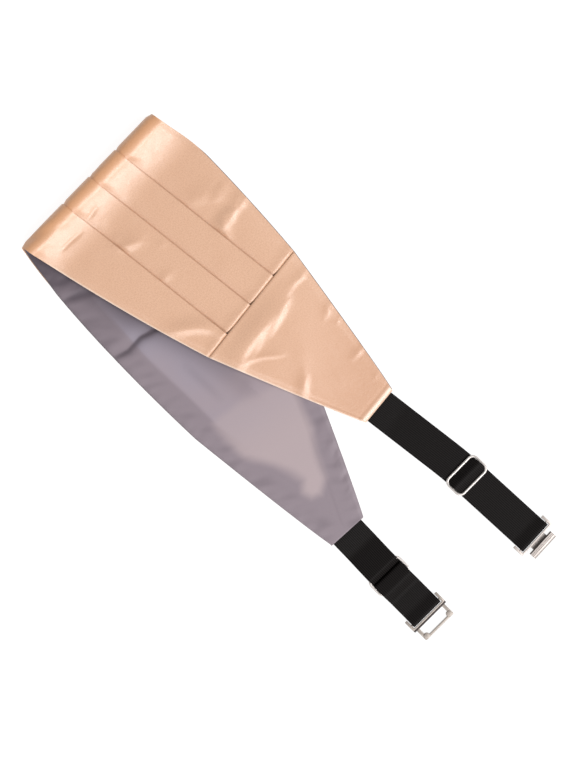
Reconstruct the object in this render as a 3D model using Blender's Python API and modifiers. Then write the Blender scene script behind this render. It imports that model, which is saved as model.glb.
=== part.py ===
"""Cummerbund folded once across its middle and lying flat, satin side out.

A pleated satin front of four strips, a plain tapered end panel at each end, a lining all
round the inside, and at each end an elastic strap with a slider. One strap carries the hook
and the other the eye. Blender 4.5, metres, +Z up. X runs from the fold towards the metal
ends and Y along the fold. The origin is the middle of the underside.

The garment is drawn flat first: s runs along its length from the middle, positive towards
the hook, and w across it. roll() then carries that flat cut round the fold.
"""

from math import asin, atan2, cos, hypot, pi, radians, sin, tan

import bmesh
import bpy
from mathutils import Matrix, Vector

MM = 0.001

# The flat cut
HALF_LENGTH = 271 * MM      # middle of the garment to the end of an end panel
SEAM_AT = 162 * MM          # middle of the garment to the seam of an end panel
CENTRE_HALF = 65 * MM       # half the width in the middle, at the seams and at the ends
SEAM_HALF = 45.3 * MM
END_HALF = 13.9 * MM
SIDE_CURVE = 1.6            # powers that bow the long sides and the end panels' sides
PANEL_CURVE = 0.94
PLEAT_EDGES = (23.7 * MM, -0.8 * MM, -25.5 * MM)    # w of the free edges
TUCK = 8 * MM               # each strip runs on this far under the next one
HOOK_END_LEAN = tan(radians(1))     # how far the end edges lean along s, for each w
EYE_END_LEAN = tan(radians(6))

# Walls, from the outer face inward
WALL = 1.0 * MM
GAP = 0.3 * MM
STEP = WALL + GAP           # depth of a tucked strip under the strip on top of it
LINING_DEPTH = 2 * STEP
STACK = LINING_DEPTH + WALL
EDGE_ROUND = 6 * MM         # the satin closes on the lining over this width of its sides
CLOSING_ENDS = (225 * MM, 255 * MM)     # s over which that closing fades out
COVERED = 0.8 * MM          # a strip is fully down this far before the next free edge
JOGGLE = 3.5 * MM           # and where it is pressed flat, it starts down this far before

# The fold
HEADING = radians(7.75)     # each half leaves the fold at this angle to X
FOLD_AT = 22.0 * MM         # unrolled distance from the garment's middle to the fold's edge
ROLL_RADIUS = 7.8 * MM      # outer radius of the soft roll
OVERTURN = radians(33)      # how far the roll turns past flat before it lies down again
HALVES_APART = 0.3 * MM
TOP_HEIGHT = 2 * STACK + HALVES_APART
FOLD_SKEW = tan(radians(2.1))       # the fold's upper corner stands further out
SKEW_FADE = 80 * MM
FOLD_X = -193.7 * MM        # the fold's edge in the part's frame

# Where the top half hangs past the half under it
OVERHANG_START = 12 * MM    # past the straight line between the lower half's corners
OVERHANG_RUN = 30 * MM
END_DROP = (242 * MM, 258 * MM)     # s over which the end comes down to the table

# Elastic straps
STRAP_WIDTH = 24.6 * MM
STRAP_THICK = 1.0 * MM
STRAP_INSIDE = 8 * MM       # sewn in between satin and lining
STRAP_LEVEL = STACK / 2     # height of the strap's middle where it leaves the panel

# Metal
WIRE = 0.75 * MM            # radius of the sliders' wire and of the two loop bars
SLIDER_LENGTH = 17 * MM
SLIDER_WIDTH = 29.0 * MM
SLIDER_CORNER = 2.8 * MM
PLATE = 1.2 * MM            # thickness of the hook's and the eye's sheet metal
BRACKET_HALF = 14.7 * MM
BRACKET_ARM = 1.9 * MM
BRACKET_BACK = -4.8 * MM    # x from the loop bar's axis, +x towards the metal's free end
BRACKET_BAR = (2.4 * MM, 4.7 * MM)
NECK_HALF = 6.5 * MM
LIP_HALF = 10.2 * MM
LIP_BACK = 7.4 * MM
LIP_BEND_AT = 10.5 * MM
LIP_BEND_RADIUS = 1.5 * MM
EYE_HALF = 12.9 * MM
EYE_FRONT = 13.9 * MM
EYE_WINDOW = (4.9 * MM, 12.0 * MM)  # from x to x
EYE_WINDOW_HALF = 10.6 * MM
BOSS_RADIUS = 1.5 * MM
NOSE_DOWN = radians(4.5)    # the hook and the eye tip down onto the table

WRAP = WIRE + GAP + STRAP_THICK / 2         # middle of a strap round a bar
OVER_WRAP = WRAP + STRAP_THICK + GAP        # middle of a strap over that strap
LOW = STRAP_THICK / 2                       # middle heights of one and of two layers
HIGH = LOW + STRAP_THICK + GAP

# Plan of each strap: where it leaves its panel, how far to its slider and to its own end,
# its heading before and after the slider, and the slider's own heading
STRAPS = {
    "hook": {
        "start": (FOLD_X + 243.3 * MM, 36.5 * MM), "slider": 74.0 * MM, "end": 136.2 * MM,
        "heading": radians(8.6), "turned": radians(3.9), "slider_heading": radians(1.7),
    },
    "eye": {
        "start": (FOLD_X + 288.9 * MM, -36.5 * MM), "slider": 40.4 * MM, "end": 76.8 * MM,
        "heading": radians(-0.2), "turned": radians(1.1), "slider_heading": radians(0.5),
    },
}
BEND_RUN = 12 * MM          # a strap turns over this length each side of a place
BEND_BACK = 8 * MM          # this far before its slider
SLANT_RUN = (12 * MM, 30 * MM)      # from a slider, its strap's cross lines lean with it

COLOURS = {
    "satin": ((0.76, 0.47, 0.31), 0.35, 0.0),
    "lining_cloth": ((0.33, 0.29, 0.33), 0.7, 0.0),
    "elastic": ((0.018, 0.016, 0.016), 0.8, 0.0),
    "nickel": ((0.66, 0.65, 0.62), 0.25, 1.0),
}


def clear_scene():
    for item in list(bpy.data.objects):
        bpy.data.objects.remove(item, do_unlink=True)


def new_collection(name):
    collection = bpy.data.collections.new(name)
    bpy.context.scene.collection.children.link(collection)
    return collection


def new_material(name):
    colour, roughness, metallic = COLOURS[name]
    material = bpy.data.materials.new(name)
    material.use_nodes = True
    shader = material.node_tree.nodes["Principled BSDF"]
    shader.inputs["Base Color"].default_value = (*colour, 1.0)
    shader.inputs["Roughness"].default_value = roughness
    shader.inputs["Metallic"].default_value = metallic
    return material


def new_piece(name, mesh, material):
    piece = bpy.data.objects.new(name, mesh)
    piece.data.materials.append(material)
    parts.objects.link(piece)
    return piece


def smooth(x):
    """0 below 0, 1 above 1, and an even S between."""
    x = min(max(x, 0.0), 1.0)
    return x * x * (3 - 2 * x)


def between(value, table):
    """Straight-line reading of a table of (position, value) rows."""
    if value <= table[0][0]:
        return table[0][1]
    for (low, first), (high, last) in zip(table, table[1:]):
        if value <= high:
            return first + (last - first) * (value - low) / (high - low)
    return table[-1][1]


# ---------------------------------------------------------------- the fold

ROLL_MID = ROLL_RADIUS - STACK / 2
ROLL_START = FOLD_AT - ROLL_MID * pi / 2
ROLL_TURN = pi + OVERTURN
ROLL_END = ROLL_START + ROLL_MID * ROLL_TURN
LIE_RADIUS = (ROLL_RADIUS * (1 + cos(OVERTURN)) - TOP_HEIGHT) / (1 - cos(OVERTURN))
LIE_MID = LIE_RADIUS + STACK / 2
LIE_END = ROLL_END + LIE_MID * OVERTURN


def roll(a, depth):
    """x and z on the rolled profile, a along the unrolled cloth and depth under its face."""
    if a < ROLL_START:
        return ROLL_RADIUS + ROLL_START - a, depth
    if a < ROLL_END:
        turn = (a - ROLL_START) / ROLL_MID
        reach = ROLL_RADIUS - depth
        return ROLL_RADIUS - sin(turn) * reach, ROLL_RADIUS - cos(turn) * reach
    turn = max(OVERTURN - (a - ROLL_END) / LIE_MID, 0.0)
    apart = ROLL_RADIUS + LIE_RADIUS
    x = ROLL_RADIUS + sin(OVERTURN) * apart - sin(turn) * (LIE_RADIUS + depth)
    z = ROLL_RADIUS + cos(OVERTURN) * apart - cos(turn) * (LIE_RADIUS + depth)
    return x + max(a - LIE_END, 0.0), z


def half_width(s):
    """Half the width of the flat cut at s."""
    s = abs(s)
    if s <= SEAM_AT:
        return CENTRE_HALF - (CENTRE_HALF - SEAM_HALF) * (s / SEAM_AT) ** SIDE_CURVE
    along = max(HALF_LENGTH - s, 0.0) / (HALF_LENGTH - SEAM_AT)
    return END_HALF + (SEAM_HALF - END_HALF) * along ** PANEL_CURVE


def plan(s, w, depth=0.0):
    """Rolled place of a point of the flat cut, before the overhang comes down."""
    a = s * cos(HEADING) - w * sin(HEADING)
    b = s * sin(HEADING) + w * cos(HEADING)
    x, z = roll(a, depth)
    x -= FOLD_SKEW * b * (1 - smooth(x / SKEW_FADE))
    return Vector((FOLD_X + x, b, z))


def overhang(s, place):
    """0 over the lower half, 1 where the top half has come down to the table."""
    corner = plan(0, CENTRE_HALF)
    side = (plan(-HALF_LENGTH, END_HALF) - corner).to_2d().normalized()
    past = (place - corner).to_2d()
    distance = side.x * past.y - side.y * past.x
    hanging = smooth((distance - OVERHANG_START) / OVERHANG_RUN)
    ending = smooth((s - END_DROP[0]) / (END_DROP[1] - END_DROP[0]))
    return 1 - (1 - hanging) * (1 - ending)


def place(s, w, depth):
    point = plan(s, w, depth)
    if s * cos(HEADING) - w * sin(HEADING) > ROLL_END:
        point.z -= (TOP_HEIGHT - STACK) * overhang(s, point)
    return point


# ---------------------------------------------------------------- cloth walls

LEANS = (
    (-HALF_LENGTH, EYE_END_LEAN), (-SEAM_AT, 0.0), (ROLL_START, tan(HEADING)),
    (LIE_END, tan(HEADING)), (SEAM_AT, 0.0), (HALF_LENGTH, HOOK_END_LEAN),
)


def steps(start, stop, count):
    """count + 1 even positions, both ends included."""
    return [start + (stop - start) * i / count for i in range(count + 1)]


def stations():
    """s of the rows from seam to seam, close together round the fold."""
    turned = 1 / cos(HEADING)
    return (
        steps(-SEAM_AT + GAP / 2, (ROLL_START - 2 * MM) * turned, 7)
        + steps(ROLL_START * turned, ROLL_END * turned, 12)
        + steps(ROLL_END * turned, LIE_END * turned, 5)[1:]
        + steps(LIE_END * turned, SEAM_AT - GAP / 2, 6)[1:]
    )


def side(s, lean, sign):
    """w where a row that leans along s meets the side of the flat cut."""
    w = sign * half_width(s)
    for _ in range(4):
        w = sign * half_width(s + lean * w)
    return w


def closing(s, w):
    """Depth by which the satin closes on the lining near the garment's sides."""
    fade = 1 - smooth((abs(s) - CLOSING_ENDS[0]) / (CLOSING_ENDS[1] - CLOSING_ENDS[0]))
    from_side = half_width(s) - abs(w)
    return STEP * fade * smooth(1 - from_side / EDGE_ROUND)


def cloth(name, material, rows, columns, bounds, depth):
    """A wall from rows of s, columns as shares between the bounds, and a depth."""
    bm = bmesh.new()
    across, along = len(columns) - 1, len(rows) - 1
    bmesh.ops.create_grid(bm, x_segments=along, y_segments=across, size=0.5)
    for vert in bm.verts:
        row = rows[round((vert.co.x + 0.5) * along)]
        lean = between(row, LEANS)
        low, high = bounds(row, lean)
        w = columns[round((vert.co.y + 0.5) * across)]
        w = w(low, high) if callable(w) else low + (high - low) * w
        s = row + lean * w
        vert.co = place(s, w, depth(s, w))
    mesh = bpy.data.meshes.new(name)
    bm.to_mesh(mesh)
    bm.free()
    piece = new_piece(name, mesh, material)
    wall = piece.modifiers.new("wall", "SOLIDIFY")
    wall.thickness = WALL
    wall.offset = -1
    wall.use_even_offset = True
    return piece


def full_width(row, lean):
    return side(row, lean, -1), side(row, lean, 1)


def edge_columns(inner):
    """Shares across a whole panel, with a rounded margin at each side."""
    margin = [lambda low, high: low + EDGE_ROUND / 2, lambda low, high: low + EDGE_ROUND]
    other = [lambda low, high: high - EDGE_ROUND, lambda low, high: high - EDGE_ROUND / 2]
    middle = [lambda low, high, share=share: low + EDGE_ROUND
              + (high - low - 2 * EDGE_ROUND) * share for share in inner]
    return [0.0] + margin + middle + other + [1.0]


def make_lining():
    before = steps(-HALF_LENGTH, -SEAM_AT, 5)[:-1]
    after = steps(SEAM_AT, HALF_LENGTH, 8)[1:]
    rows = before + stations() + after
    cloth("lining", material_lining, rows, steps(0, 1, 8), full_width,
          lambda s, w: LINING_DEPTH)


def make_pleats():
    for index in range(len(PLEAT_EDGES) + 1):
        make_pleat(index)


def make_pleat(index):
    first, last = index == 0, index == len(PLEAT_EDGES)

    def bounds(row, lean):
        high = side(row, lean, 1) if first else PLEAT_EDGES[index - 1]
        low = side(row, lean, -1) if last else PLEAT_EDGES[index] - TUCK
        return low, high

    def depth(s, w):
        tucked = 0.0
        if not last:
            covered = PLEAT_EDGES[index] + COVERED
            free = half_width(s) if first else PLEAT_EDGES[index - 1]
            sloping = free - TUCK - GAP
            pressed = PLEAT_EDGES[index] + JOGGLE
            on_top = smooth((s * cos(HEADING) - ROLL_START) / (ROLL_END - ROLL_START))
            start = pressed + (sloping - pressed) * on_top
            tucked = STEP * min(max((start - w) / (start - covered), 0.0), 1.0)
        return max(tucked, closing(s, w)) if first or last else tucked

    if last:
        columns = [0.0, lambda low, high: low + EDGE_ROUND / 2,
                   lambda low, high: low + EDGE_ROUND, 0.5, 1.0]
    else:
        covered = PLEAT_EDGES[index] + COVERED
        pressed = PLEAT_EDGES[index] + JOGGLE
        columns = [0.0, lambda low, high: covered, lambda low, high: pressed]
        columns += [lambda low, high: (pressed + high - TUCK - GAP) / 2,
                    lambda low, high: high - TUCK - GAP]
        if first:
            columns.append(lambda low, high: high - EDGE_ROUND / 2)
        columns.append(1.0)
    cloth(f"pleat_{index + 1}", material_satin, stations(), columns, bounds, depth)


def make_end_panels():
    columns = edge_columns((0.25, 0.5, 0.75))
    hook_rows = steps(SEAM_AT + GAP / 2, HALF_LENGTH, 9)
    eye_rows = steps(-HALF_LENGTH, -SEAM_AT - GAP / 2, 6)
    cloth("end_panel_hook", material_satin, hook_rows, columns, full_width, closing)
    cloth("end_panel_eye", material_satin, eye_rows, columns, full_width, closing)


# ---------------------------------------------------------------- straps

def belt(pulleys, turn_step=radians(24)):
    """A path over pulleys of (x, z, radius), with straight runs between them.

    A positive radius turns the path to the left round its centre and a negative one to the
    right. A radius of 0 is a plain point.
    """
    ways = []
    for (x0, z0, r0), (x1, z1, r1) in zip(pulleys, pulleys[1:]):
        span = hypot(x1 - x0, z1 - z0)
        ways.append(atan2(z1 - z0, x1 - x0) - asin((r1 - r0) / span))
    points = []
    for index, (x, z, radius) in enumerate(pulleys):
        arrive = ways[max(index - 1, 0)]
        leave = ways[min(index, len(ways) - 1)]
        if radius == 0:
            points.append((x, z))
            continue
        turn = (leave - arrive) % (2 * pi)
        if radius < 0:
            turn -= 2 * pi
        count = max(int(abs(turn) / turn_step + 0.999), 1)
        for way in steps(arrive, arrive + turn, count):
            points.append((x + radius * sin(way), z - radius * cos(way)))
    return points


def strap_plan(strap, distance):
    """Place and heading of the strap's middle line at a distance from its panel."""
    bend_from = strap["slider"] - BEND_BACK - BEND_RUN
    first, turned = strap["heading"], strap["turned"]
    x, y = strap["start"]
    straight = min(distance, bend_from)
    x += cos(first) * straight
    y += sin(first) * straight
    bent = min(max(distance - bend_from, 0.0), 2 * BEND_RUN)
    heading = first + (turned - first) * bent / (2 * BEND_RUN)
    x += cos((first + heading) / 2) * bent
    y += sin((first + heading) / 2) * bent
    rest = max(distance - bend_from - 2 * BEND_RUN, 0.0)
    return x + cos(turned) * rest, y + sin(turned) * rest, heading


def strap_point(which, distance, w, height):
    """A point of a strap, whose cross lines turn with the slider where it passes it."""
    strap = STRAPS[which]
    lean = tan(strap_plan(strap, strap["slider"])[2] - strap["slider_heading"])
    near, clear = SLANT_RUN
    away = (abs(distance - strap["slider"]) - near) / (clear - near)
    x, y, heading = strap_plan(strap, distance + w * lean * (1 - smooth(away)))
    return Vector((x - sin(heading) * w, y + cos(heading) * w, height))


def slider_bars(which):
    """(x, z) of a slider's first bar, centre bar and last bar along its strap."""
    middle = STRAPS[which]["slider"]
    reach = SLIDER_LENGTH / 2 - WIRE
    if which == "hook":
        first, last = LOW + WRAP, HIGH + WRAP
    else:
        first = last = LOW + OVER_WRAP
    return (middle - reach, first), (middle, (first + last) / 2), (middle + reach, last)


def loop_bar(which):
    """(x, z) of the bar that the strap's end loops round."""
    return STRAPS[which]["end"] - WRAP - STRAP_THICK / 2, LOW + WRAP


def strap_path(which):
    """The strap's own way, seen from its side: out, round the metal and back."""
    bar_1, centre, bar_2 = slider_bars(which)
    loop = loop_bar(which)
    exit_run, loop_run, return_run = 14 * MM, 7 * MM, 5 * MM
    start = [(-STRAP_INSIDE, STRAP_LEVEL, 0), (1 * MM, STRAP_LEVEL, 0), (exit_run, LOW, 0)]
    reach = WRAP * 1.001
    past = radians(20)
    if which == "hook":
        return start + [
            (*bar_1, WRAP), (*centre, -OVER_WRAP), (*bar_2, WRAP),
            (loop[0] - loop_run, HIGH, 0), (*loop, -WRAP),
            (centre[0] + return_run, LOW, 0), (*centre, -WRAP),
            (centre[0] + reach * sin(past), centre[1] + reach * cos(past), 0),
        ]
    return start + [
        (*bar_1, -WRAP), (*centre, OVER_WRAP), (*bar_2, -WRAP),
        (bar_2[0] + loop_run, LOW, 0), (*loop, WRAP),
        (loop[0] - loop_run, HIGH, 0), (bar_2[0] + loop_run + GAP, HIGH, 0),
        (*bar_2, OVER_WRAP), (*centre, WRAP),
        (centre[0] + reach * sin(past), centre[1] - reach * cos(past), 0),
    ]


def make_strap(which):
    path = belt(strap_path(which))
    along, across = len(path) - 1, 2
    bm = bmesh.new()
    bmesh.ops.create_grid(bm, x_segments=along, y_segments=across, size=0.5)
    for vert in bm.verts:
        distance, height = path[round((vert.co.x + 0.5) * along)]
        vert.co = strap_point(which, distance, vert.co.y * STRAP_WIDTH, height)
    mesh = bpy.data.meshes.new(f"strap_{which}")
    bm.to_mesh(mesh)
    bm.free()
    piece = new_piece(f"strap_{which}", mesh, material_elastic)
    wall = piece.modifiers.new("wall", "SOLIDIFY")
    wall.thickness = STRAP_THICK
    wall.offset = 0
    wall.use_even_offset = True


# ---------------------------------------------------------------- metal

def mesh_of(curve_object):
    """The curve's evaluated mesh, welded, with the curve removed."""
    parts.objects.link(curve_object)
    bpy.context.view_layer.update()
    graph = bpy.context.evaluated_depsgraph_get()
    mesh = bpy.data.meshes.new_from_object(curve_object.evaluated_get(graph))
    bm = bmesh.new()
    bm.from_mesh(mesh)
    bmesh.ops.remove_doubles(bm, verts=bm.verts, dist=0.01 * MM)
    bmesh.ops.recalc_face_normals(bm, faces=bm.faces)
    bm.to_mesh(mesh)
    bm.free()
    bpy.data.objects.remove(curve_object, do_unlink=True)
    return mesh


def rounded_loop(half_x, half_y, corner, count=4):
    """Points of a rectangle with round corners, once round."""
    points = []
    for index, (sign_x, sign_y) in enumerate(((1, 1), (-1, 1), (-1, -1), (1, -1))):
        for angle in steps(index * pi / 2, (index + 1) * pi / 2, count):
            points.append((sign_x * (half_x - corner) + corner * cos(angle),
                           sign_y * (half_y - corner) + corner * sin(angle)))
    return points


def new_spline(curve, points, cyclic=True):
    spline = curve.splines.new("POLY")
    spline.points.add(len(points) - 1)
    for point, (x, y) in zip(spline.points, points):
        point.co = (x, y, 0, 1)
    spline.use_cyclic_u = cyclic
    return spline


def rod(name, radius, half):
    """A round bar along Y, centred on the origin."""
    bm = bmesh.new()
    turn = Matrix.Rotation(pi / 2, 4, "X")
    bmesh.ops.create_cone(bm, cap_ends=True, segments=12, radius1=radius, radius2=radius,
                          depth=2 * half, matrix=turn)
    mesh = bpy.data.meshes.new(name)
    bm.to_mesh(mesh)
    bm.free()
    return mesh


def join(target, meshes):
    """Unites the piece with each mesh, which stays behind as a hidden tool."""
    for index, mesh in enumerate(meshes):
        tool = bpy.data.objects.new(f"{target.name}_add_{index}", mesh)
        tool.hide_render = True
        tool.display_type = "WIRE"
        tool.parent = target
        cutters.objects.link(tool)
        union = target.modifiers.new(f"add_{index}", "BOOLEAN")
        union.operation = "UNION"
        union.object = tool


def make_slider(which):
    bar_1, centre, bar_2 = slider_bars(which)
    name = f"slider_{which}"
    curve = bpy.data.curves.new(name, "CURVE")
    curve.dimensions = "3D"
    curve.bevel_depth = WIRE
    curve.bevel_resolution = 2
    new_spline(curve, rounded_loop(SLIDER_LENGTH / 2 - WIRE, SLIDER_WIDTH / 2 - WIRE,
                                   SLIDER_CORNER - WIRE))
    slider = new_piece(name, mesh_of(bpy.data.objects.new(name, curve)), material_nickel)
    x, y, _ = strap_plan(STRAPS[which], centre[0])
    tilt = atan2(bar_2[1] - bar_1[1], bar_2[0] - bar_1[0])
    slider.location = (x, y, centre[1])
    slider.rotation_euler = (0, -tilt, STRAPS[which]["slider_heading"])
    join(slider, [rod(f"{name}_bar", WIRE * 0.96, SLIDER_WIDTH / 2 - WIRE)])


def flat_plate(name, outline, thickness, holes=()):
    """A flat outline with holes, centred on its own plane."""
    curve = bpy.data.curves.new(name, "CURVE")
    curve.dimensions = "2D"
    curve.fill_mode = "BOTH"
    curve.extrude = thickness / 2
    for points in (outline, *holes):
        new_spline(curve, points)
    return mesh_of(bpy.data.objects.new(name, curve))


def bracket_outline(front):
    """Half outline points of the bracket round a strap's end, then mirrored."""
    inner = BRACKET_HALF - BRACKET_ARM
    half = [(BRACKET_BAR[0], inner), (BRACKET_BACK, inner), (BRACKET_BACK, BRACKET_HALF),
            (BRACKET_BAR[1] - 0.8 * MM, BRACKET_HALF), (BRACKET_BAR[1], BRACKET_HALF - 0.8 * MM)]
    half += front
    return half + [(x, -y) for x, y in reversed(half)]


def seat_metal(piece, which):
    """Puts a piece drawn round its loop bar onto its strap's end, nose down."""
    distance, height = loop_bar(which)
    x, y, heading = strap_plan(STRAPS[which], distance)
    piece.location = (x, y, height)
    piece.rotation_euler = (0, NOSE_DOWN, heading)


def make_hook():
    outline = bracket_outline([(BRACKET_BAR[1], NECK_HALF), (LIP_BACK + 1 * MM, NECK_HALF)])
    hook = new_piece("hook", flat_plate("hook", outline, PLATE), material_nickel)
    join(hook, [rod("hook_bar", WIRE, BRACKET_HALF - BRACKET_ARM / 2), make_lip()])
    seat_metal(hook, "hook")


def make_lip():
    """The cross piece of the hook, bent up and back over its neck."""
    sides = []
    for turn in (LIP_BEND_RADIUS + PLATE / 2, LIP_BEND_RADIUS - PLATE / 2):
        low, high = LIP_BEND_RADIUS - turn, LIP_BEND_RADIUS + turn
        sides.append(belt([(LIP_BACK, low, 0), (LIP_BEND_AT, LIP_BEND_RADIUS, turn),
                           (LIP_BACK, high, 0)]))
    mesh = flat_plate("hook_lip", sides[0] + sides[1][::-1], 2 * LIP_HALF)
    mesh.transform(Matrix.Rotation(pi / 2, 4, "X"))
    return mesh


def make_eye():
    outline = bracket_outline([(BRACKET_BAR[1], EYE_HALF), (EYE_FRONT - 1 * MM, EYE_HALF),
                               (EYE_FRONT, EYE_HALF - 1 * MM)])
    near, far = EYE_WINDOW
    window = [(near, -EYE_WINDOW_HALF), (far, -EYE_WINDOW_HALF),
              (far, EYE_WINDOW_HALF), (near, EYE_WINDOW_HALF)]
    eye = new_piece("eye", flat_plate("eye", outline, PLATE, [window]), material_nickel)
    bosses = []
    for sign in (-1, 1):
        bm = bmesh.new()
        spot = Matrix.Translation((far, sign * EYE_WINDOW_HALF, 0))
        bmesh.ops.create_cone(bm, cap_ends=True, segments=12, radius1=BOSS_RADIUS,
                              radius2=BOSS_RADIUS, depth=PLATE * 1.5, matrix=spot)
        mesh = bpy.data.meshes.new("eye_boss")
        bm.to_mesh(mesh)
        bm.free()
        bosses.append(mesh)
    join(eye, [rod("eye_bar", WIRE, BRACKET_HALF - BRACKET_ARM / 2)] + bosses)
    seat_metal(eye, "eye")


# ---------------------------------------------------------------- the whole

clear_scene()
parts = new_collection("cummerbund")
cutters = new_collection("tools")
material_satin = new_material("satin")
material_lining = new_material("lining_cloth")
material_elastic = new_material("elastic")
material_nickel = new_material("nickel")

make_lining()
make_pleats()
make_end_panels()
for end in STRAPS:
    make_strap(end)
    make_slider(end)
make_hook()
make_eye()
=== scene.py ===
"""Looks of a folded satin cummerbund, seen from straight above on a pale floor.

The satin, the lining and the elastic are thin shells on the solids' own forms, with creases
placed on the flat cut. Lengths are metres, and MM turns millimetres into them.
"""

from math import asin, atan2, cos, hypot, pi, radians, sin, tan

import bmesh
import bpy
import numpy as np
from mathutils import Matrix, Vector, noise


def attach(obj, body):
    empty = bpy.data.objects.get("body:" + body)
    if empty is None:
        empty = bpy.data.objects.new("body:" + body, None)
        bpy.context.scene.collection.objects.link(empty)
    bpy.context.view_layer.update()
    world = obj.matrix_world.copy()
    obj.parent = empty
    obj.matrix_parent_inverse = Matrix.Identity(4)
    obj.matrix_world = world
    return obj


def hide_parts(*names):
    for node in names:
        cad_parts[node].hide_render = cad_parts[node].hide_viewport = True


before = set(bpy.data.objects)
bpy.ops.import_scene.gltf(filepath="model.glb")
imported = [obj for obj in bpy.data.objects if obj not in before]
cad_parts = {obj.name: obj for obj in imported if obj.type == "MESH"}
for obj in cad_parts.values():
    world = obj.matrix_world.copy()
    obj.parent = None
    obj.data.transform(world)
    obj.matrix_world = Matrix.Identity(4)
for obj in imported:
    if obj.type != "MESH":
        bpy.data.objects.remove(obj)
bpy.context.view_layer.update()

MM = 0.001

# ------------------------------------------------------------------ the garment's sizes

HALF_LENGTH = 271 * MM      # middle of the garment to the end of an end panel
SEAM_AT = 162 * MM          # middle of the garment to the seam of an end panel
CENTRE_HALF = 65 * MM       # half widths: at the middle, at the seam, at the strap
SEAM_HALF = 45.3 * MM
END_HALF = 13.9 * MM
SIDE_CURVE = 1.6            # powers that bow the sides before and after the seam
PANEL_CURVE = 0.94
PLEAT_EDGES = (23.7 * MM, -0.8 * MM, -25.5 * MM)
TUCK = 8 * MM               # a strip runs this far under the next one
HOOK_END_LEAN = tan(radians(1))     # the end panels don't end quite square
EYE_END_LEAN = tan(radians(6))

WALL = 1.0 * MM             # the solids' cloth, and the room between two layers
GAP = 0.3 * MM
STEP = WALL + GAP
LINING_DEPTH = 2 * STEP
STACK = LINING_DEPTH + WALL
EDGE_ROUND = 6 * MM         # width over which the satin closes on the lining
CLOSING_ENDS = (225 * MM, 255 * MM)     # where along s it does so less and less
COVERED = 0.8 * MM          # a strip is a full step down this far before the next edge,
JOGGLE = 3.5 * MM           # and starts down this far before it where it is pressed flat

HEADING = radians(7.75)     # each half leaves the fold at this angle to x
FOLD_AT = 22.0 * MM         # garment's middle to the fold's edge, unrolled
ROLL_RADIUS = 7.8 * MM      # outside of the soft roll
OVERTURN = radians(33)      # how far it turns past flat before it lies down again
HALVES_APART = 0.3 * MM
TOP_HEIGHT = 2 * STACK + HALVES_APART
FOLD_SKEW = tan(radians(2.1))       # the fold's line isn't quite square,
SKEW_FADE = 80 * MM                 # which is gone this far from it
FOLD_X = -193.7 * MM

OVERHANG_START = 5 * MM     # the top half comes down beyond the lower half's side
OVERHANG_RUN = 54 * MM
END_DROP = (184 * MM, 266 * MM)     # and towards its own end
# the fold's far corner is drawn in near the fold, from one y on over a width
PINCH_RUN, PINCH_FROM, PINCH_ACROSS = 50 * MM, 30 * MM, 38 * MM
PINCH_IN = 6.0 * MM
PINCH_DOWN = 0.10           # share of its height that the corner loses
CUT_SCALE = 10              # the UV map "cut" is the flat cut in tenths of a metre

# thin shells
SATIN_THICK = 0.22 * MM
LINING_THICK = 0.3 * MM
TURN_RADIUS = 0.38 * MM     # the satin's folded edges
TURN_UNDER = 5 * MM         # and how far the cloth runs back under them
FINE = 1.25 * MM            # spacing of the satin's rows and columns
GLINT = 0.85                # light on the turned lower edge of the top half
SEAM_CLEAR = 0.01 * MM      # the satin pieces stop just short of the cross seam

ROLL_MID = ROLL_RADIUS - STACK / 2
ROLL_START = FOLD_AT - ROLL_MID * pi / 2
ROLL_END = ROLL_START + ROLL_MID * (pi + OVERTURN)
LIE_RADIUS = (ROLL_RADIUS * (1 + cos(OVERTURN)) - TOP_HEIGHT) / (1 - cos(OVERTURN))
LIE_MID = LIE_RADIUS + STACK / 2
LIE_END = ROLL_END + LIE_MID * OVERTURN


def smooth(x):
    """0 below 0, 1 above 1, and an even S between, for numbers and arrays."""
    x = np.clip(x, 0.0, 1.0)
    return x * x * (3 - 2 * x)


def bell(x):
    """1 at 0, falling off on both sides."""
    return np.exp(-x * x)


# ------------------------------------------------------------------ the folded cut

def half_width(s):
    """Half the width of the flat cut at s."""
    s = np.abs(s)
    inner = CENTRE_HALF - (CENTRE_HALF - SEAM_HALF) * (s / SEAM_AT) ** SIDE_CURVE
    along = np.clip(HALF_LENGTH - s, 0.0, None) / (HALF_LENGTH - SEAM_AT)
    outer = END_HALF + (SEAM_HALF - END_HALF) * along ** PANEL_CURVE
    return np.where(s <= SEAM_AT, inner, outer)


def roll(a, depth):
    """x and z on the rolled profile, a along the unrolled cloth, depth under its face."""
    flat_x = ROLL_RADIUS + ROLL_START - a
    turn = np.clip((a - ROLL_START) / ROLL_MID, 0.0, pi + OVERTURN)
    reach = ROLL_RADIUS - depth
    arc_x, arc_z = ROLL_RADIUS - np.sin(turn) * reach, ROLL_RADIUS - np.cos(turn) * reach
    lie = np.clip(OVERTURN - (a - ROLL_END) / LIE_MID, 0.0, OVERTURN)
    apart = ROLL_RADIUS + LIE_RADIUS
    lie_x = ROLL_RADIUS + sin(OVERTURN) * apart - np.sin(lie) * (LIE_RADIUS + depth)
    lie_z = ROLL_RADIUS + cos(OVERTURN) * apart - np.cos(lie) * (LIE_RADIUS + depth)
    lie_x = lie_x + np.clip(a - LIE_END, 0.0, None)
    x = np.where(a < ROLL_START, flat_x, np.where(a < ROLL_END, arc_x, lie_x))
    z = np.where(a < ROLL_START, depth, np.where(a < ROLL_END, arc_z, lie_z))
    return x, z


def unrolled(s, w):
    """Distance from the garment's middle square to the fold, along the unrolled cloth."""
    return s * cos(HEADING) - w * sin(HEADING)


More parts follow.
